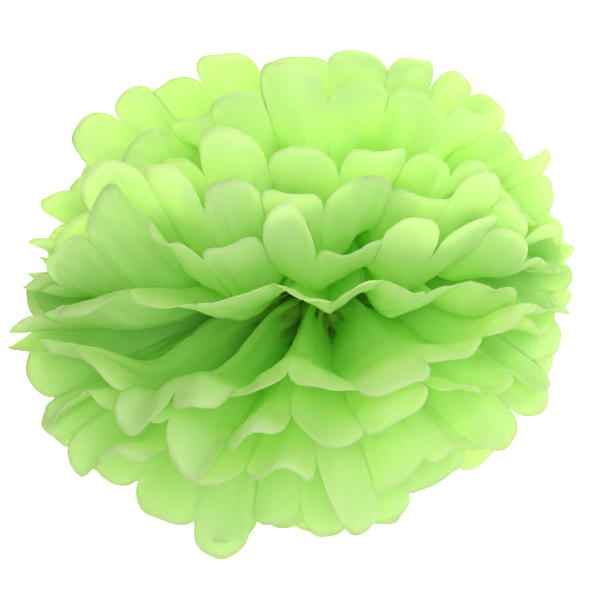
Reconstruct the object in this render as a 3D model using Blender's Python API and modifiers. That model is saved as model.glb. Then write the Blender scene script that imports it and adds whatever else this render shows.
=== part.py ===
# A tissue paper pom pom: ten pleated sheets of tissue lie in one another and are gathered
# at their waist by a twisted wire. Above and below the wire each sheet opens into a fan of
# rounded petals, and each pair of fans is pulled further round than the one in front of it.
# The sheets were folded together, so their folds lie in one another.
#
# X runs along the valley between the upper and lower fans, -Y is the front, +Z is up.
# The origin is the middle of the tie.

import math

import bmesh
import bpy
from mathutils import Vector

COLLECTION_NAME = "tissue_pom_pom"

# The sheets, in metres and degrees
PANEL_COUNT = 14  # panels between the creases of one sheet
PANEL_WIDTH = 0.03  # flat width of one panel
PETAL_REACH = 0.1225  # from the waist to the tip of a petal
NOTCH_DEPTH = 0.0105  # from the tip of a petal down to the crease beside it
SHEET_THICKNESS = 0.0005  # stands in for tissue of about 0.03 mm
WAIST_HALF_WIDTH = 0.007  # half the width of the gathered pleats inside the tie
WAIST_HALF_HEIGHT = 0.0025  # half the straight stretch that the tie goes round
FIRST_CREASE_ANGLE = 8.0  # from the X axis to the first crease of a fan
SHORTER_ABOVE = 0.13  # petals in the middle of an upper fan bow, so they reach less far
SHORTER_BELOW = 0.08  # the same for a lower fan
LOPSIDED = 0.075  # share by which petals at -X are pulled out further than those at +X
GATHER_LENGTH = 0.03  # the pleats open from flat to full depth over this length
MOST_SWING = 14.0  # degrees that a crease stands off its fan near the tie
FORWARD_SHARE = 0.4  # share of a fold that the front sheet swings forwards, the rest back
CURVE_START = 0.35  # share of the reach at which petals begin to curve outwards
LAYER_GAP = 0.00085  # from one sheet's middle to the next, square to the sheets

# Each sheet from front to back: how far the tips of its upper fan lean back from the front,
# how far those of its lower fan do, and how much of each its petals gain by curving outwards.
SHEETS = (
    (3.0, 21.0, 2.0, 8.0),
    (22.0, 36.0, 4.0, 8.0),
    (36.0, 49.0, 5.0, 7.0),
    (48.0, 62.0, 6.0, 6.0),
    (64.0, 75.0, 5.0, 4.0),
    (82.0, 89.0, 2.0, 0.0),
    (102.0, 104.0, -3.0, -4.0),
    (122.0, 121.0, -6.0, -6.0),
    (144.0, 139.0, -6.0, -6.0),
    (167.0, 158.0, -4.0, -5.0),
)

# Rows of points along a crease, measured from the waist, and across the end of a petal
CREASE_ROWS = (0.0, 0.014, 0.05, 0.082, PETAL_REACH - NOTCH_DEPTH)
PETAL_END_PARTS = (0.18, 0.5, 0.82)

# The wire tie
WIRE_RADIUS = 0.0004
WIRE_CLEARANCE = 0.0004  # between the wire and the sheets, and between its two tails
LOOP_STEPS = 26
TWIST_RADIUS = WIRE_RADIUS + WIRE_CLEARANCE / 2
TWIST_LENGTH = 0.014
TWIST_TURNS = 2.5
TWIST_STEPS = 20


def clear_scene():
    for old in list(bpy.data.objects):
        bpy.data.objects.remove(old, do_unlink=True)


def make_collection():
    collection = bpy.data.collections.new(COLLECTION_NAME)
    bpy.context.scene.collection.children.link(collection)
    return collection


def make_material(name, colour, roughness, metallic):
    material = bpy.data.materials.new(name)
    material.use_nodes = True
    material.diffuse_color = (*colour, 1.0)
    shader = material.node_tree.nodes["Principled BSDF"]
    shader.inputs["Base Color"].default_value = (*colour, 1.0)
    shader.inputs["Roughness"].default_value = roughness
    shader.inputs["Metallic"].default_value = metallic
    return material


def tie_lean(sheet, side):
    """The lean of a fan beside the tie, before its petals curve outwards."""
    return sheet[0] - sheet[2] if side > 0 else sheet[1] - sheet[3]


def waist_step(sheet, next_sheet):
    """The distance along Y between two waists. Fans that lean far over need more of it."""
    steepest = []
    for side in (1, -1):
        leans = (tie_lean(sheet, side), tie_lean(next_sheet, side))
        steepest.append(max(math.sin(math.radians(lean)) for lean in leans))
    return LAYER_GAP / min(steepest)


def waist_places():
    """Y of each sheet's waist, with the stack centred on the origin."""
    places = [0.0]
    for sheet, next_sheet in zip(SHEETS, SHEETS[1:]):
        places.append(places[-1] + waist_step(sheet, next_sheet))
    middle = (places[0] + places[-1]) / 2
    return [place - middle for place in places]


def fold_angle(along):
    """How far a crease stands off its fan: the panels keep their width while the fan widens."""
    if along == 0.0:
        return 0.0
    crease_step = math.radians(180.0 - 2.0 * FIRST_CREASE_ANGLE) / PANEL_COUNT
    opened = min(crease_step * along, PANEL_WIDTH)
    half_depth = math.sqrt(PANEL_WIDTH**2 - opened**2) / 2
    gather = min(along / GATHER_LENGTH, 1.0) ** 2
    free = math.degrees(math.asin(min(half_depth / along, 1.0)))
    return gather * min(free, MOST_SWING)


def swing_angle(index, crease, along):
    """The folds lie in one another: back at even creases, and forwards at odd ones."""
    last = len(SHEETS) - 1
    forwards = FORWARD_SHARE + (2.0 - 2.0 * FORWARD_SHARE) * index / last
    share = 2.0 - forwards if crease % 2 == 0 else -forwards
    return share * fold_angle(along)


def curve_angle(sheet, side, along):
    """What is still missing from the tips' lean at this place along a petal."""
    outer = max(along / PETAL_REACH - CURVE_START, 0.0) / (1.0 - CURVE_START)
    return (sheet[2] if side > 0 else sheet[3]) * (1.0 - outer**2)


def crease_point(index, waist_y, side, crease, along):
    """A point on a crease, this far from the waist. side is 1 for the upper fan, -1 for the lower."""
    sheet = SHEETS[index]
    step = (180.0 - 2.0 * FIRST_CREASE_ANGLE) / PANEL_COUNT
    spread = math.radians(180.0 - FIRST_CREASE_ANGLE - crease * step)
    lean = (sheet[0] if side > 0 else sheet[1]) - curve_angle(sheet, side, along)
    turn = math.radians(lean + swing_angle(index, crease, along))
    shorter = SHORTER_ABOVE if side > 0 else SHORTER_BELOW
    reach = along * (1.0 - shorter * math.sin(spread) ** 2 - LOPSIDED * math.cos(spread))
    waist = Vector((WAIST_HALF_WIDTH * math.cos(spread), waist_y, side * WAIST_HALF_HEIGHT))
    direction = Vector(
        (
            math.cos(spread),
            -math.sin(spread) * math.cos(turn),
            side * math.sin(spread) * math.sin(turn),
        )
    )
    return waist + reach * direction


def petal_end_point(index, waist_y, side, panel, part):
    """A point on the rounded end of a petal, at this part of the panel's width."""
    arch = math.sqrt(1.0 - (2.0 * part - 1.0) ** 2)
    along = PETAL_REACH - NOTCH_DEPTH * (1.0 - arch)
    first = crease_point(index, waist_y, side, panel, along)
    second = crease_point(index, waist_y, side, panel + 1, along)
    return first.lerp(second, part)


def add_crease(bm, index, waist_y, crease):
    """The vertices of one crease, from the lower notch through the waist to the upper notch."""
    places = [(-1, along) for along in reversed(CREASE_ROWS)]
    places += [(1, along) for along in CREASE_ROWS]
    return [
        bm.verts.new(crease_point(index, waist_y, side, crease, along))
        for side, along in places
    ]


def add_panel(bm, index, waist_y, panel, left, right):
    """The faces between two creases: a strip of quads, and a rounded petal at each end."""
    for row in range(len(left) - 1):
        bm.faces.new((left[row], right[row], right[row + 1], left[row + 1]))
    ends = {}
    for side in (-1, 1):
        ends[side] = [
            bm.verts.new(petal_end_point(index, waist_y, side, panel, part))
            for part in PETAL_END_PARTS
        ]
    bm.faces.new((left[-1], right[-1], *reversed(ends[1])))
    bm.faces.new((right[0], left[0], *ends[-1]))


def make_sheet(index, waist_y, material, collection):
    name = f"sheet_{index + 1:02d}"
    bm = bmesh.new()
    creases = [add_crease(bm, index, waist_y, crease) for crease in range(PANEL_COUNT + 1)]
    for panel in range(PANEL_COUNT):
        add_panel(bm, index, waist_y, panel, creases[panel], creases[panel + 1])
    bmesh.ops.triangulate(bm, faces=bm.faces[:])
    mesh = bpy.data.meshes.new(name)
    bm.to_mesh(mesh)
    bm.free()
    mesh.materials.append(material)
    piece = bpy.data.objects.new(name, mesh)
    collection.objects.link(piece)
    paper = piece.modifiers.new("Paper", "SOLIDIFY")
    paper.thickness = SHEET_THICKNESS
    paper.offset = 0.0
    return piece


def loop_points(half_x, half_y):
    """The wire round the waists, an oval open at +X where its two tails leave."""
    opening = math.asin(TWIST_RADIUS / half_y)
    points = []
    for step in range(LOOP_STEPS + 1):
        angle = opening + (2.0 * math.pi - 2.0 * opening) * step / LOOP_STEPS
        points.append(Vector((half_x * math.cos(angle), half_y * math.sin(angle), 0.0)))
    return points


def tail_points(start_x, phase):
    """One tail of the twist, a helix about the X axis."""
    points = []
    for step in range(1, TWIST_STEPS + 1):
        angle = phase + 2.0 * math.pi * TWIST_TURNS * step / TWIST_STEPS
        place = start_x + TWIST_LENGTH * step / TWIST_STEPS
        points.append(
            Vector((place, TWIST_RADIUS * math.cos(angle), TWIST_RADIUS * math.sin(angle)))
        )
    return points


def make_wire_tie(half_depth, material, collection):
    """One wire: in along a tail, round the stack of waists, and out along the other tail."""
    clear = SHEET_THICKNESS / 2 + WIRE_CLEARANCE + WIRE_RADIUS
    # An oval round the corners of the stack, which is a rectangle, is wider by the root of two.
    half_x = math.sqrt(2.0) * (WAIST_HALF_WIDTH + clear)
    half_y = math.sqrt(2.0) * (half_depth + clear)
    loop = loop_points(half_x, half_y)
    first_tail = tail_points(loop[0].x, 0.0)
    second_tail = tail_points(loop[0].x, math.pi)
    points = list(reversed(first_tail)) + loop + second_tail
    curve = bpy.data.curves.new("wire_tie", "CURVE")
    curve.dimensions = "3D"
    curve.bevel_depth = WIRE_RADIUS
    curve.bevel_resolution = 1
    curve.use_fill_caps = True
    spline = curve.splines.new("POLY")
    spline.points.add(len(points) - 1)
    for spline_point, place in zip(spline.points, points):
        spline_point.co = (*place, 1.0)
    spline.use_smooth = True
    curve.materials.append(material)
    piece = bpy.data.objects.new("wire_tie", curve)
    collection.objects.link(piece)
    return piece


def main():
    clear_scene()
    collection = make_collection()
    tissue = make_material("tissue", (0.34, 0.72, 0.12), 0.85, 0.0)
    wire = make_material("wire", (0.62, 0.62, 0.6), 0.35, 1.0)
    places = waist_places()
    for index, waist_y in enumerate(places):
        make_sheet(index, waist_y, tissue, collection)
    make_wire_tie(places[-1], wire, collection)


main()
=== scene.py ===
import math

import bpy
import numpy as np
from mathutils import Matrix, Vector


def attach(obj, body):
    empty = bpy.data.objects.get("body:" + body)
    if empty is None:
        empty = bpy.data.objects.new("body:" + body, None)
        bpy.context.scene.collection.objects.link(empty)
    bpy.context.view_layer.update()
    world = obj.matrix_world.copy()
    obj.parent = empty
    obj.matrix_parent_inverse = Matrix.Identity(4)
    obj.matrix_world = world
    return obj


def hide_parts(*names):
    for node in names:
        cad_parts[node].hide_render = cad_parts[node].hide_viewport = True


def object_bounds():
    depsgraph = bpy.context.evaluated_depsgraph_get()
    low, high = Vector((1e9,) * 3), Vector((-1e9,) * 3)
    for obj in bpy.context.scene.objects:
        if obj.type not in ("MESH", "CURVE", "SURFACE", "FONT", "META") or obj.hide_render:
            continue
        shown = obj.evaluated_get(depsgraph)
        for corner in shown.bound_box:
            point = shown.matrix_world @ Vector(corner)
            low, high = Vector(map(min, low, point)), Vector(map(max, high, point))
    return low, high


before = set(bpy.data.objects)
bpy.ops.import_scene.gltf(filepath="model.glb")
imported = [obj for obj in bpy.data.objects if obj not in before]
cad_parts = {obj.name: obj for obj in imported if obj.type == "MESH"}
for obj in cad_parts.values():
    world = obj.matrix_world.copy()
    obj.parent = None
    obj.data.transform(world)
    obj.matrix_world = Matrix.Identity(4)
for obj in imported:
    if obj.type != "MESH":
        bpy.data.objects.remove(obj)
cadBox = [list(corner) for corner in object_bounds()]
print("frame loaded:", len(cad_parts), "nodes")

latticeSize = 64  # a noise pattern repeats after this many steps


# a square of random numbers from minus one to one, for the noise below
def makeLattice(seed):
    return np.random.default_rng(seed).uniform(-1.0, 1.0, (latticeSize, latticeSize))


# nought below nought, one above one, and three squares less two cubes between them
def smoothStep(value):
    value = np.clip(value, 0.0, 1.0)
    return value * value * (3.0 - 2.0 * value)


# climbs smoothly from nought at this start to one after this length
def rise(value, start, length):
    return smoothStep((value - start) / length)


# the first where part is nought, the second where it is one, and a straight line between them
def mix(first, second, part):
    return first * (1.0 - part) + second * part


# value noise: the four nearest lattice numbers, blended by a smooth step on each axis
def noise(u, v, lattice):
    cellU = np.floor(u).astype(int)
    cellV = np.floor(v).astype(int)
    partU = smoothStep(u - cellU)
    partV = smoothStep(v - cellV)
    left, right = cellU % latticeSize, (cellU + 1) % latticeSize
    low, high = cellV % latticeSize, (cellV + 1) % latticeSize
    near = mix(lattice[left, low], lattice[right, low], partU)
    beyond = mix(lattice[left, high], lattice[right, high], partU)
    return mix(near, beyond, partV)


# ridges: one where the noise crosses zero, falling off on both sides, so creases come out sharp
def ridges(u, v, lattice):
    return 1.0 - 2.0 * np.abs(noise(u, v, lattice))


# lengths in metres, angles in degrees
pleats = {
    "panels": 14,
    "panelWidth": 0.030,
    "petalReach": 0.114,
    "notchDepth": 0.0115,
    "cutShare": 0.2,         # share of a notch's depth that rounding the petals takes off in all
    "sheetLength": 0.25,
    "waistHalfWidth": 0.007,
    "waistHalfHeight": 0.0025,
    "waistCloses": (0.0, 0.02),  # the upper and lower fans draw together from here, over this
    "waistClosing": 0.9,     # share of the waist's half height that they lose there
    "firstCrease": 1.5,      # from the valley's end to the first crease
    "foldTake": 0.010,       # width that a fold of size one takes from a panel's opening
    "leastOpening": 0.01,    # a panel opens at least this wide
    "leftLonger": (0.10, 0.04),  # share by which left petals reach further, in front and behind
    "leftLongerSheets": (3, 3.0),  # that share changes from this sheet on, over this many sheets
    "rightShorter": 0.10,
    "fuller": 0.05,          # share by which petals halfway round to the top reach further
    "tipPower": (2.8, 1.3),  # how full the end of a petal is, and of a pointed one at the left
    "pointed": (140.0, 25.0),  # petals turn pointed from here round the fan, over this
    "shorterAbove": 0.08,    # share by which the middle petals of an upper fan reach less far
    "shorterBelow": 0.015,
    "curveFrom": 0.35,       # share of the reach from which petals curve outwards
    "curveTo": 1.2,          # a longer petal goes on curving up to this share
    "gatherLength": 0.022,   # the pleats open from flat to full depth over this length
    "gatherPower": 1.5,
    "layerGap": 0.00085,
    "columnsPerPanel": 18,
    "rowsPerFan": 34,
    "thickness": 0.00015,
    "seed": 52,
}

# where round a fan the leans below are given, in degrees from its right hand end
leanStops = [175.0, 150.0, 131.0, 110.0, 90.0, 72.0, 54.0, 30.0, 5.0]

# front to back: where the tips of the upper and the lower fan are, in degrees from the front, and
# how many of those degrees a petal gains on its outer part, where it curves out and shows its face
sheetLeans = [
    {"up": [0] * 9, "down": [26, 27, 28, 22, 20, 20, 20, 15, 12], "curves": (4, 13)},
    {"up": [9, 10, 13, 16, 17, 17, 17, 16, 14], "down": [38, 38, 38, 33, 28, 28, 33, 38, 36],
     "curves": (13, 15)},
    {"up": [20, 22, 24, 27, 30, 31, 31, 29, 27], "down": [50, 50, 48, 45, 42, 42, 48, 51, 49],
     "curves": (15, 15)},
    {"up": [36, 37, 40, 42, 44, 45, 44, 42, 41], "down": [63, 62, 61, 58, 57, 59, 61, 63, 63],
     "curves": (15, 13)},
    {"up": [58, 58, 58, 60, 62, 63, 63, 61, 60], "down": [75, 74, 73, 72, 72, 73, 74, 75, 75],
     "curves": (11, 8)},
    {"up": [80] * 9, "down": [88] * 9, "curves": (4, 0)},
    {"up": [103] * 9, "down": [105] * 9, "curves": (-4, -6)},
    {"up": [125] * 9, "down": [123] * 9, "curves": (-11, -12)},
    {"up": [148] * 9, "down": [141] * 9, "curves": (-14, -14)},
    {"up": [176] * 9, "down": [160] * 9, "curves": (-14, -14)},
]

looseness = {
    "foldSizes": (0.45, 1.25),  # how deep the folds are, as shares of what a panel's width allows
    "foldDrift": 0.08,       # share by which a fold differs from sheet to sheet
    "frontShare": 0.1,       # share of a fold that the front page swings forwards, the rest back
    "mostSwing": 46.0,
    "spreadDrift": 3.0,      # degrees that creases wander round from sheet to sheet
    "spreadWaves": 2,        # in so many waves round the fan
    "leanDrift": 3.0,        # degrees that a petal leans out of its fan
    "leanWaves": ((0.5, 2.0), (0.4, 5.0)),  # in sines of a share of it and of so many times the turn
    "frontLoose": 0.25,      # share of the lean and the curl that the front page keeps
    "reachDrift": 0.075,     # share by which petals differ in length
    "reachRange": (-1.0, 0.6),
    "notchDrift": 0.4,       # share by which notches differ in depth
    "tipCurl": 9.0,          # degrees that a tip curls
    "curlSpread": 0.6,       # as a share of that, the spread from petal to petal
    "curlFrom": 0.45,        # share of the reach from which it curls
    "tipSkew": 0.16,         # how far a rounded end is pushed aside
    "cup": 0.05,             # depth of a petal's cup, as a share of its width
    "cupRange": (-0.5, 1.5),
    "cupGrowth": 1.4,        # the cup is full at one over this of the reach
    "bow": 0.16,             # how far the pages stand up before they lean over
    "bowLength": 0.035,      # and within how far of the tie they do
    "ripple": 0.0045,        # gathers beside the tie
    "ripplesPerPanel": 3,
    "rippleStarts": (0.004, 0.008),  # they grow from here along a petal, over this
    "rippleEnds": (0.016, 0.02),
    "arc": 4.0,              # degrees that a page bends along its length
    "arcRange": (0.5, 1.0),
    "rounding": 0.2,         # how soft the folds have become
    "relax": 0.6,            # share of its swing that a crease has lost at its tip
    "relaxes": (0.35, 0.55),  # it loses it from this share of the reach, over this one
}

# where the front page's edge runs: its height at a few places from left to right
frontEdge = {
    "across": [-0.125, -0.081, -0.054, -0.037, -0.016, 0.009, 0.044, 0.057, 0.075, 0.125],
    "height": [-0.006, -0.006, -0.002, -0.001, 0.007, 0.003, 0.004, -0.001, -0.004, -0.007],
    "leastSine": 0.12,       # keeps the leans at the ends of the fan small
}

# how steeply the pages of neighbouring sheets leave the tie, from the middle of the stack out
waistSteepness = [78.0, 61.0, 43.0, 29.0, 16.0]


# where the sheets pass through the tie, front to back: a layer's gap over the sine of its
# steepness, so steps are wide beside the flat outer pages, the same on both sides
def waistPlaces():
    steps = pleats["layerGap"] / np.sin(np.radians(waistSteepness))
    half = np.cumsum(np.concatenate([[steps[0] / 2.0], steps[1:]]))
    return np.concatenate([-half[::-1], half])


# the columns of the grid: places across each panel by a cosine, closer together at the creases
def columnPlaces():
    perPanel = pleats["columnsPerPanel"]
    across = (1.0 - np.cos(np.pi * np.arange(perPanel) / perPanel)) / 2.0
    panel = np.repeat(np.arange(pleats["panels"]), perPanel)
    part = np.tile(across, pleats["panels"])
    return np.append(panel, pleats["panels"] - 1), np.append(part, 1.0)


# the lean that brings each crease's tip to the height that the front edge has there: the arc
# sine of that height over the reach
def leanOfFrontEdge(spread):
    across = pleats["petalReach"] * np.cos(spread)
    height = np.interp(across, frontEdge["across"], frontEdge["height"])
    reach = pleats["petalReach"] * np.maximum(np.sin(spread), frontEdge["leastSine"])
    return np.degrees(np.arcsin((height - pleats["waistHalfHeight"]) / reach))


# the folds that all the sheets share, because they were folded together. The upper and the
# lower fans have folds of their own
def sharedFolds(side):
    rng = np.random.default_rng(pleats["seed"] + 5 + side)
    return rng.uniform(*looseness["foldSizes"], pleats["panels"] + 1)


# where the creases lie round the fan: a panel's opening is the third side of a right triangle
# with its width and its folds' depth, so one with deep folds beside it opens less
def creaseSpreads(folds, wave):
    depth = pleats["foldTake"] * (folds[:-1] + folds[1:])
    squared = pleats["panelWidth"] ** 2 - depth**2
    opened = np.sqrt(np.maximum(squared, pleats["leastOpening"] ** 2))
    turned = np.concatenate([[0.0], np.cumsum(opened)]) / np.sum(opened)
    spread = 180.0 - pleats["firstCrease"] - turned * (180.0 - 2.0 * pleats["firstCrease"])
    inside = np.sin(np.pi * turned)
    waves = np.sin(2.0 * np.pi * looseness["spreadWaves"] * turned + wave)
    return spread + looseness["spreadDrift"] * inside * waves


# what is different from petal to petal, all drawn before any shape is made
def drawFan(rng, index, leans, side):
    count = pleats["panels"]
    wave = rng.uniform(0.0, 2.0 * np.pi, 3)
    folds = sharedFolds(side)
    spread = creaseSpreads(folds, wave[2])
    folds = folds * (1.0 + looseness["foldDrift"] * rng.uniform(-1.0, 1.0, count + 1))
    frontShare = looseness["frontShare"]
    forwards = mix(frontShare, 2.0 - frontShare, (index - 1) / (len(sheetLeans) - 1))
    even = np.arange(count + 1) % 2 == 0
    swing = np.where(even, 2.0 - forwards, -forwards) * folds
    turnRound = np.radians(spread)
    if index == 1 and side > 0:
        lean = leanOfFrontEdge(turnRound)
        loose = looseness["frontLoose"]
    else:
        lean = np.interp(-spread, -np.array(leanStops), leans["up"] if side > 0 else leans["down"])
        loose = 1.0
    for (share, turns), start in zip(looseness["leanWaves"], wave):
        lean = lean + loose * looseness["leanDrift"] * share * np.sin(turns * turnRound + start)
    return {
        "spread": turnRound,
        "lean": lean,
        "swing": swing,
        "curve": leans["curves"][0 if side > 0 else 1],
        "leftLonger": mix(*pleats["leftLonger"], rise(index, *pleats["leftLongerSheets"])),
        "arc": looseness["arc"] * rng.uniform(*looseness["arcRange"], count + 1),
        "notch": 1.0 + looseness["notchDrift"] * rng.uniform(-1.0, 1.0, count + 1),
        "reach": 1.0 + looseness["reachDrift"] * rng.uniform(*looseness["reachRange"], count),
        "curl": looseness["tipCurl"] * rng.normal(0.0, looseness["curlSpread"], count) * loose,
        "cup": looseness["cup"] * rng.uniform(*looseness["cupRange"], count),
        "skew": rng.uniform(-looseness["tipSkew"], looseness["tipSkew"], count),
    }


# a petal's value in its middle, the mean of two neighbours at their crease, a sine between
def blendPetals(values, panel, part):
    padded = np.concatenate([values[:1], values, values[-1:]])
    atCrease = (padded[:-1] + padded[1:]) / 2.0
    sides = mix(atCrease[panel], atCrease[panel + 1], part)
    return mix(sides, values[panel], np.sin(np.pi * part) ** 2)


# a panel keeps its flat width, the long side of a right triangle whose other sides are the
# opening and the fold's depth: the more the fan opens the less its creases swing
def swingAngle(along):
    step = math.radians(180.0 - 2.0 * pleats["firstCrease"]) / pleats["panels"]
    opened = np.minimum(step * along, pleats["panelWidth"])
    halfDepth = np.sqrt(pleats["panelWidth"] ** 2 - opened**2) / 2.0
    gather = np.minimum(along / pleats["gatherLength"], 1.0) ** pleats["gatherPower"]
    free = np.degrees(np.arcsin(np.minimum(halfDepth / np.maximum(along, 1e-6), 1.0)))
    far = along / pleats["petalReach"]
    relaxed = 1.0 - looseness["relax"] * rise(far, *looseness["relaxes"])
    return gather * relaxed * np.minimum(free, looseness["mostSwing"])


# points of a page: out from the waist along a direction that goes round the X axis with the
# lean, swung to the front at every second crease and to the back at the others
def pagePoints(fan, side, waistY, panel, part, along):
    soft = mix(part, smoothStep(part), looseness["rounding"])
    spread = mix(fan["spread"][panel], fan["spread"][panel + 1], part)[:, None]
    lean = mix(fan["lean"][panel], fan["lean"][panel + 1], part)[:, None]
    fold = mix(fan["swing"][panel], fan["swing"][panel + 1], soft)[:, None]
    arc = mix(fan["arc"][panel], fan["arc"][panel + 1], part)[:, None]
    far = along / pleats["petalReach"]
    outer = (far - pleats["curveFrom"]) / (1.0 - pleats["curveFrom"])
    inner = fan["curve"] * (1.0 - np.clip(outer, 0.0, pleats["curveTo"]) ** 2)
    standing = looseness["bow"] * np.exp(-along / looseness["bowLength"])
    swing = fold * swingAngle(along)
    turn = np.radians(mix(lean - inner, 90.0, standing) + swing + arc * 2.0 * far * (1.0 - far))
    shorter = pleats["shorterAbove"] if side > 0 else pleats["shorterBelow"]
    sideways = np.cos(spread)
    stretch = -np.where(sideways < 0.0, fan["leftLonger"], pleats["rightShorter"]) * sideways
    stretch = stretch + pleats["fuller"] * np.sin(2.0 * spread) ** 2
    reach = along * (1.0 + stretch - shorter * np.sin(spread) ** 2)
    closed = pleats["waistClosing"] * rise(along, *pleats["waistCloses"])
    x = (pleats["waistHalfWidth"] + reach) * sideways
    y = waistY - reach * np.sin(spread) * np.cos(turn)
    z = pleats["waistHalfHeight"] * (1.0 - closed) + reach * np.sin(spread) * np.sin(turn)
    return np.stack([x, y, side * z], axis=-1)


# the direction square to a grid of points, towards the front: the cross product of its slopes
def facingOf(points, side):
    facing = np.cross(np.gradient(points, axis=0), np.gradient(points, axis=1)) * side
    length = np.linalg.norm(facing, axis=-1, keepdims=True)
    return facing / np.maximum(length, 1e-12)


# a turn about the line through this centre along X, by an angle for each point
def turnAboutX(points, centreY, centreZ, angle):
    y = points[..., 1] - centreY
    z = points[..., 2] - centreZ
    points[..., 1] = centreY + y * np.cos(angle) - z * np.sin(angle)
    points[..., 2] = centreZ + y * np.sin(angle) + z * np.cos(angle)


# how far out each column of a fan ends: rounded petals with a notch at each crease. A rounded
# end is the root of one less a power of the distance from the petal's middle
def edgeOfFan(fan, panel, part):
    skewed = part + fan["skew"][panel] * part * (1.0 - part)
    spread = mix(fan["spread"][panel], fan["spread"][panel + 1], part)
    power = mix(*pleats["tipPower"], rise(np.degrees(spread), *pleats["pointed"]))
    arch = np.sqrt(np.maximum(1.0 - np.abs(2.0 * skewed - 1.0) ** power, 0.0))
    notchReach = pleats["petalReach"] - pleats["notchDepth"] * fan["notch"]
    edge = mix(notchReach[panel], notchReach[panel + 1], part)
    return mix(edge, pleats["petalReach"] * fan["reach"][panel], arch)


# marks are counted across each panel and along each centimetre of a petal
marks = {
    "centimetre": 0.01,
    "starts": (0.02, 0.05),  # they set in this far from the waist, over this length
    "crumple": 0.0014,       # soft dents all over
    "wideDents": (1.4, 0.7),
    "smallDents": (3.7, 1.5),
    "smallDentShare": 0.35,
    "dentShifts": (3.0, 9.0),  # keep the two patterns of dents from lining up
    "crease": 0.0009,        # lengthwise creases
    "longCreases": (2.3, 0.14),
    "longSlant": 0.15,
    "fineCreases": (4.9, 0.25),
    "fineSlant": -0.2,
    "fineCreaseShare": 0.5,
    "ragged": 0.0009,        # how far the cut edge wanders in and out
    "raggedWaves": (3.1, 7.5),
}


# how far dents and creases push the paper: two sizes of noise, and two sizes of slanted ridges
def markHeights(place, along, lattices):
    out = along / marks["centimetre"]
    across, lengthwise = marks["wideDents"]
    shiftWide, shiftSmall = marks["dentShifts"]
    dents = noise(place * across + shiftWide, out * lengthwise, lattices[0])
    across, lengthwise = marks["smallDents"]
    small = noise(place * across, out * lengthwise + shiftSmall, lattices[1])
    dents = dents + marks["smallDentShare"] * small
    across, lengthwise = marks["longCreases"]
    creases = ridges(place * across + marks["longSlant"] * out, out * lengthwise, lattices[2])
    across, lengthwise = marks["fineCreases"]
    fine = ridges(place * across + marks["fineSlant"] * out, out * lengthwise, lattices[3])
    creases = creases + marks["fineCreaseShare"] * fine
    growth = rise(along, *marks["starts"])
    return growth * (marks["crumple"] * dents + marks["crease"] * creases)


# one fan as a grid: columns go round the fan and rows go from the waist to the petals' edge
def fanGrid(fan, side, waistY, lattices):
    panel, part = columnPlaces()
    place = panel + part
    across, level = marks["raggedWaves"]
    ragged = noise(place * across, np.full(len(place), level), lattices[3])
    edge = edgeOfFan(fan, panel, part) + marks["ragged"] * ragged
    along = edge[:, None] * np.linspace(0.0, 1.0, pleats["rowsPerFan"])[None, :]
    points = pagePoints(fan, side, waistY, panel, part, along)
    far = along / pleats["petalReach"]
    place = place[:, None] + np.zeros_like(along)
    # a cup is a parabola across the petal, and the gathers are waves near the tie only
    cup = fan["cup"][panel] * pleats["panelWidth"] * 4.0 * part * (1.0 - part)
    push = cup[:, None] * smoothStep(far * looseness["cupGrowth"]) * far
    slack = rise(along, *looseness["rippleStarts"]) * (1.0 - rise(along, *looseness["rippleEnds"]))
    gathers = np.sin(2.0 * np.pi * looseness["ripplesPerPanel"] * place)
    push = push + looseness["ripple"] * slack * gathers + markHeights(place, along, lattices)
    points = points + facingOf(points, side) * push[..., None]
    curl = np.radians(blendPetals(fan["curl"], panel, part))[:, None]
    curled = np.clip((far - looseness["curlFrom"]) / (1.0 - looseness["curlFrom"]), 0.0, 1.0)
    turnAboutX(points, waistY, side * pleats["waistHalfHeight"], -side * curl * curled**2)
    return points, far


bundle = {
    "still": (0.013, 0.05),  # nothing moves this near the tie, and all does this much further out
    "waveHeight": 0.0075,
    "waveLength": 0.095,
    "endWaveLength": 0.06,   # the waves are shorter at the left and right ends
    "ends": (0.0, 0.12),     # which set in from here across, over this
    "middleWave": 0.7,       # share of the waves' height in the middle
    "drift": 0.004,
    "liftLengths": (0.045, 0.07),
    "asideLengths": (0.035, 0.05),
    "deeperLengths": (0.05, 0.04),
    "asideStart": 1.0,       # radians, so that the three sines don't start together
    "deeperStart": 2.0,
}


# slow waves through the whole bundle, a sine along each axis: the pages stay apart, but none
# lies quite straight
def warp(points):
    x, y, z = points[..., 0], points[..., 1], points[..., 2]
    radius = np.sqrt(x * x + y * y + z * z)
    grow = rise(radius, *bundle["still"])
    end = rise(np.abs(x), *bundle["ends"])
    wave = np.sin(2.0 * np.pi * y / mix(bundle["waveLength"], bundle["endWaveLength"], end))
    wave = wave * mix(bundle["middleWave"], 1.0, end)
    long, short = bundle["liftLengths"]
    lift = bundle["drift"] * np.sin(x / long + y / short) - bundle["waveHeight"] * wave
    long, short = bundle["asideLengths"]
    aside = bundle["drift"] * np.sin(z / long + y / short + bundle["asideStart"])
    long, short = bundle["deeperLengths"]
    deeper = bundle["drift"] * np.sin(x / long - z / short + bundle["deeperStart"])
    return points + np.stack([aside * grow, deeper * grow, lift * grow], axis=-1)


# the lower fan's rows turned round, so that they run from its petals up to the waist
def joinFans(lower, upper):
    return np.concatenate([lower[:, ::-1], upper], axis=1)


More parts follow.
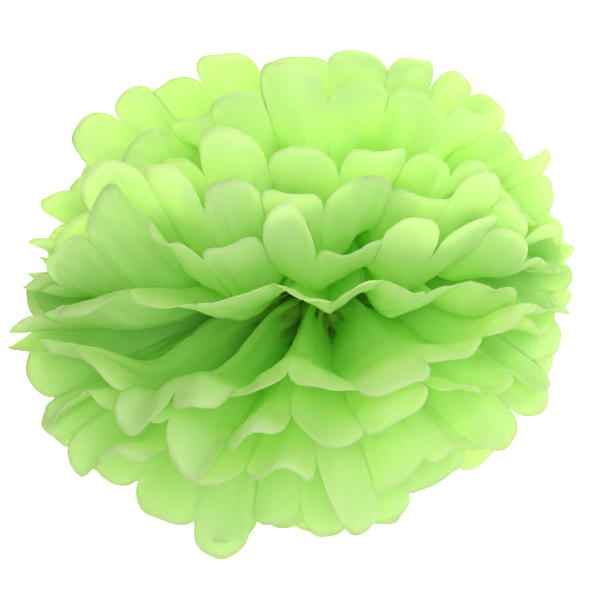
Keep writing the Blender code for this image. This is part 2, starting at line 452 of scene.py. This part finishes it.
# a mesh of quads from a grid of points, with a value at each point for each attribute
def gridMesh(name, points, attributes):
    columns, rows = points.shape[:2]
    index = np.arange(columns * rows).reshape(columns, rows)
    corners = [index[:-1, :-1], index[1:, :-1], index[1:, 1:], index[:-1, 1:]]
    quads = np.stack(corners, axis=-1).reshape(-1, 4)
    mesh = bpy.data.meshes.new(name)
    mesh.from_pydata(points.reshape(-1, 3), [], quads)
    for key, values in attributes.items():
        layer = mesh.attributes.new(key, "FLOAT", "POINT")
        layer.data.foreach_set("value", values.reshape(-1).astype(np.float32))
    mesh.polygons.foreach_set("use_smooth", np.ones(len(quads), bool))
    mesh.update()
    return mesh


# one sheet: both its fans and the waist between them in one grid, given a paper's thickness.
# Its marks take four lattices of its own
def makeSheet(index, leans, waistY, material):
    rng = np.random.default_rng(pleats["seed"] * 100 + index)
    lattices = [makeLattice(pleats["seed"] * 1000 + index * 10 + n) for n in range(4)]
    fans = {}
    for side in (-1, 1):
        fans[side] = fanGrid(drawFan(rng, index, leans, side), side, waistY, lattices)
    points = warp(joinFans(fans[-1][0], fans[1][0]))
    far = joinFans(fans[-1][1], fans[1][1])
    place = np.broadcast_to(np.linspace(0.0, pleats["panels"], len(far))[:, None], far.shape)
    name = f"tissue_{index:02d}"
    mesh = gridMesh(name, points, {"far": far, "place": place})
    mesh.materials.append(material)
    piece = bpy.data.objects.new(name, mesh)
    bpy.context.scene.collection.objects.link(piece)
    paper = piece.modifiers.new("Paper", "SOLIDIFY")
    paper.thickness = pleats["thickness"]
    paper.offset = 0.0
    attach(piece, "root")
    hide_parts(f"sheet_{index:02d}")


# a node socket that adds Math nodes when it is used in an expression
class Wire:
    def __init__(self, tree, socket):
        self.tree = tree
        self.socket = socket

    def join(self, operation, first, second):
        node = self.tree.nodes.new("ShaderNodeMath")
        node.operation = operation
        for socket, value in zip(node.inputs, (first, second)):
            if isinstance(value, Wire):
                self.tree.links.new(value.socket, socket)
            else:
                socket.default_value = value
        return Wire(self.tree, node.outputs[0])

    def __add__(self, other):
        return self.join("ADD", self, other)

    def __radd__(self, other):
        return self.join("ADD", other, self)

    def __sub__(self, other):
        return self.join("SUBTRACT", self, other)

    def __rsub__(self, other):
        return self.join("SUBTRACT", other, self)

    def __mul__(self, other):
        return self.join("MULTIPLY", self, other)

    def __rmul__(self, other):
        return self.join("MULTIPLY", other, self)


# a material and its nodes
class NodeTree:
    def __init__(self, name):
        self.material = bpy.data.materials.new(name)
        self.material.use_nodes = True
        self.tree = self.material.node_tree
        self.tree.nodes.clear()

    # one call for any node: its settings first, then the values or links of its sockets, which
    # go by their names with an underscore for a space, or by an s and their number
    def node(self, kind, settings=None, output=0, **sockets):
        made = self.tree.nodes.new("ShaderNode" + kind)
        for key, value in (settings or {}).items():
            if key == "stops":
                self.setStops(made.color_ramp, value)
            else:
                setattr(made, key, value)
        for key, value in sockets.items():
            numbered = key[0] == "s" and key[1:].isdigit()
            socket = made.inputs[int(key[1:]) if numbered else key.replace("_", " ")]
            if isinstance(value, Wire):
                self.tree.links.new(value.socket, socket)
            else:
                socket.default_value = value
        return Wire(self.tree, made.outputs[output])

    # the places and colours along a colour ramp
    def setStops(self, ramp, stops):
        while len(ramp.elements) < len(stops):
            ramp.elements.new(0.5)
        for element, (position, colour) in zip(ramp.elements, stops):
            element.position = position
            element.color = colour

    # joins the surface to the material's output
    def finish(self, surface):
        end = self.tree.nodes.new("ShaderNodeOutputMaterial")
        self.tree.links.new(surface.socket, end.inputs["Surface"])
        return self.material


# the ramp paints light by reach: a deep, saturated painted shade near the tie, where the layers
# shade one another, paling to a washed-out painted highlight at the petals' tips
tissue = {
    "stops": [               # from the tie out to the petals' cut edge
        (0.35, (0.62, 0.985, 0.14, 1.0)),
        (0.86, (0.79, 0.93, 0.54, 1.0)),
        (1.0, (0.85, 0.93, 0.70, 1.0)),
    ],
    "paintedLightByReach": 0.8,         # how much each thing counts for the place on those stops
    "cloudShade": 0.25,
    "fibreShade": 0.12,
    "through": (0.79, 0.965, 0.42, 1.0),
    "letThrough": 0.58,      # share of the light that goes through the paper
    "cloudThin": 0.25,
    "foldThin": 0.6,
    "roughness": 0.85,
    "shine": 0.2,
    "cloudSize": 90.0,
    "fibreSize": 900.0,
    "wrinkleSize": 210.0,
    "creasesAcross": 5.0,    # fine creases in each panel's width
    "creasesAlong": 2.2,
    "wrinkleHeight": 0.5,
    "fibreHeight": 0.1,
    "foldHeight": -2.2,
    "bump": 0.45,
    "bumpDepth": 0.0009,
}


# thin matte paper: part of the light is sent back by the surface and part goes through it. A
# fine fold is where a noise stretched along the petal crosses one half
def makeTissue():
    t = NodeTree("tissue")
    where = t.node("TexCoord", output=3)
    far = t.node("Attribute", {"attribute_name": "far"}, output=2)
    place = t.node("Attribute", {"attribute_name": "place"}, output=2)
    alongPetal = t.node(
        "CombineXYZ", X=place * tissue["creasesAcross"], Y=far * tissue["creasesAlong"], Z=place
    )
    cloud = t.node("TexNoise", Vector=where, Scale=tissue["cloudSize"], Detail=4.0)
    fibre = t.node("TexNoise", Vector=where, Scale=tissue["fibreSize"], Detail=3.0, Roughness=0.7)
    wrinkle = t.node("TexNoise", Vector=where, Scale=tissue["wrinkleSize"], Detail=5.0)
    crease = t.node("TexNoise", Vector=alongPetal, Scale=1.0, Detail=4.0, Distortion=0.4)
    # the place on the ramp: the paper's random mottling from the cloud and fibre noise, plus painted
    # shade near the tie and a painted highlight at the tips, by reach
    mottleAndPaintedLight = tissue["cloudShade"] * cloud + tissue["fibreShade"] * fibre + tissue["paintedLightByReach"] * far
    colour = t.node("ValToRGB", {"stops": tissue["stops"]}, Fac=mottleAndPaintedLight)
    fold = t.node("Math", {"operation": "ABSOLUTE"}, s0=crease - 0.5)
    height = tissue["wrinkleHeight"] * wrinkle + tissue["fibreHeight"] * fibre
    height = height + tissue["foldHeight"] * fold
    bump = t.node("Bump", Height=height, Strength=tissue["bump"], Distance=tissue["bumpDepth"])
    front = t.node(
        "BsdfPrincipled",
        Base_Color=colour,
        Roughness=tissue["roughness"],
        Specular_IOR_Level=tissue["shine"],
        Normal=bump,
    )
    back = t.node("BsdfTranslucent", Color=tissue["through"], Normal=bump)
    thin = tissue["letThrough"] + tissue["cloudThin"] * (cloud - 0.5) + tissue["foldThin"] * fold
    return t.finish(t.node("MixShader", s0=thin, s1=front, s2=back))


steel = {
    "stops": [(0.3, (0.42, 0.42, 0.41, 1.0)), (0.7, (0.66, 0.66, 0.64, 1.0))],
    "grainSize": 700.0,
    "roughness": 0.28,
    "roughnessDrift": 0.2,
}


# bare drawn wire, whose tint and roughness follow one fine noise
def makeSteel():
    t = NodeTree("tieWire")
    where = t.node("TexCoord", output=3)
    drawn = t.node("TexNoise", Vector=where, Scale=steel["grainSize"], Detail=2.0)
    tint = t.node("ValToRGB", {"stops": steel["stops"]}, Fac=drawn)
    rough = steel["roughness"] + steel["roughnessDrift"] * drawn
    return t.finish(t.node("BsdfPrincipled", Base_Color=tint, Metallic=1.0, Roughness=rough))


sweep = {
    "floorDrop": 0.10,       # the pom pom hangs this far above the floor
    "front": -3.0,
    "bendFrom": 1.2,
    "bendRadius": 0.8,
    "bendRows": 12,
    "wallHeight": 3.5,
    "halfWidth": 3.5,
    "stops": [(0.0, (0.93, 0.93, 0.93, 1.0)), (1.0, (0.96, 0.96, 0.96, 1.0))],
    "grainSize": 40.0,
    "roughness": 0.9,
}


# a flat floor that bends up in a quarter circle to a wall
def makeStage(lowest):
    bend = np.linspace(0.1, 1.0, sweep["bendRows"]) * np.pi / 2
    bendY = sweep["bendFrom"] + sweep["bendRadius"] * np.sin(bend)
    bendZ = sweep["bendRadius"] - sweep["bendRadius"] * np.cos(bend)
    profileY = np.concatenate([[sweep["front"], sweep["bendFrom"]], bendY, bendY[-1:]])
    profileZ = np.concatenate([[0.0, 0.0], bendZ, [sweep["wallHeight"]]])
    grid = np.zeros((2, len(profileY), 3))
    grid[..., 0] = np.array([-sweep["halfWidth"], sweep["halfWidth"]])[:, None]
    grid[..., 1] = profileY[None, :]
    grid[..., 2] = lowest - sweep["floorDrop"] + profileZ[None, :]
    mesh = gridMesh("backdrop", grid, {})
    t = NodeTree("backdropPaper")
    where = t.node("TexCoord", output=3)
    grain = t.node("TexNoise", Vector=where, Scale=sweep["grainSize"], Detail=2.0)
    tint = t.node("ValToRGB", {"stops": sweep["stops"]}, Fac=grain)
    paper = t.node("BsdfPrincipled", Base_Color=tint, Roughness=sweep["roughness"])
    mesh.materials.append(t.finish(paper))
    backdrop = bpy.data.objects.new("backdrop", mesh)
    bpy.context.scene.collection.objects.link(backdrop)


# a lamp or a camera looks down its own -Z, which this points at the target
def aimAt(thing, target):
    direction = Vector(target) - thing.location
    thing.rotation_euler = direction.to_track_quat("-Z", "Y").to_euler()


# sizes are in metres and powers in watts
lamps = {
    "keyLight": {"place": (1.1, -0.6, 0.8), "size": 0.45, "power": 5.0},
    "rimLight": {"place": (1.1, 0.4, -0.1), "size": 0.6, "power": 5.0},
    "fillLight": {"place": (0.1, -1.3, 0.15), "size": 0.9, "power": 6.0},
    "backdropLight": {
        "place": (0.0, 0.7, 1.5), "size": 1.2, "power": 45.0, "target": (0.0, 1.9, -0.1)
    },
}


# a round soft lamp, aimed at the tie unless it has a target of its own
def makeLight(name, lamp):
    light = bpy.data.lights.new(name, "AREA")
    light.shape = "DISK"
    light.size = lamp["size"]
    light.energy = lamp["power"]
    stand = bpy.data.objects.new(name, light)
    stand.location = lamp["place"]
    bpy.context.scene.collection.objects.link(stand)
    aimAt(stand, lamp.get("target", (0.0, 0.0, 0.0)))


# thin paper glows from within, so its light needs many bounces
room = {
    "skyStrength": 0.315,
    "skyColour": (1.0, 1.0, 1.0, 1.0),
    "bounces": {"max_bounces": 40, "diffuse_bounces": 24, "transmission_bounces": 30},
}


# an even white room, with the lamps in it
def makeLights():
    scene = bpy.context.scene
    world = bpy.data.worlds.new("softRoom")
    world.use_nodes = True
    sky = world.node_tree.nodes["Background"]
    sky.inputs["Color"].default_value = room["skyColour"]
    sky.inputs["Strength"].default_value = room["skyStrength"]
    scene.world = world
    for name, lamp in lamps.items():
        makeLight(name, lamp)
    scene.view_settings.view_transform = "Standard"
    for name, count in room["bounces"].items():
        setattr(scene.cycles, name, count)


view = {
    "distance": 0.66,
    "height": 0.04,
    "lens": 88.0,
    "sensorWidth": 36.0,
    "aim": (-0.0100, 0.0, -0.0045),
}


# a long lens in front of the pom pom, a little above its tie
def makeCamera():
    data = bpy.data.cameras.new("camera")
    data.lens = view["lens"]
    data.sensor_width = view["sensorWidth"]
    camera = bpy.data.objects.new("camera", data)
    camera.location = (view["aim"][0], -view["distance"], view["height"])
    bpy.context.scene.collection.objects.link(camera)
    bpy.context.scene.camera = camera
    aimAt(camera, view["aim"])


makeCamera()
tissuePaper = makeTissue()
tieWire = makeSteel()
print("camera and materials made")

for index, (leans, waistY) in enumerate(zip(sheetLeans, waistPlaces()), start=1):
    makeSheet(index, leans, waistY, tissuePaper)
    print("sheet", index, "folded")

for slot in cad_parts["wire_tie"].material_slots:
    slot.material = tieWire
print("wire tie coloured")

makeStage(cadBox[0][2])
makeLights()
print("stage and lights made")
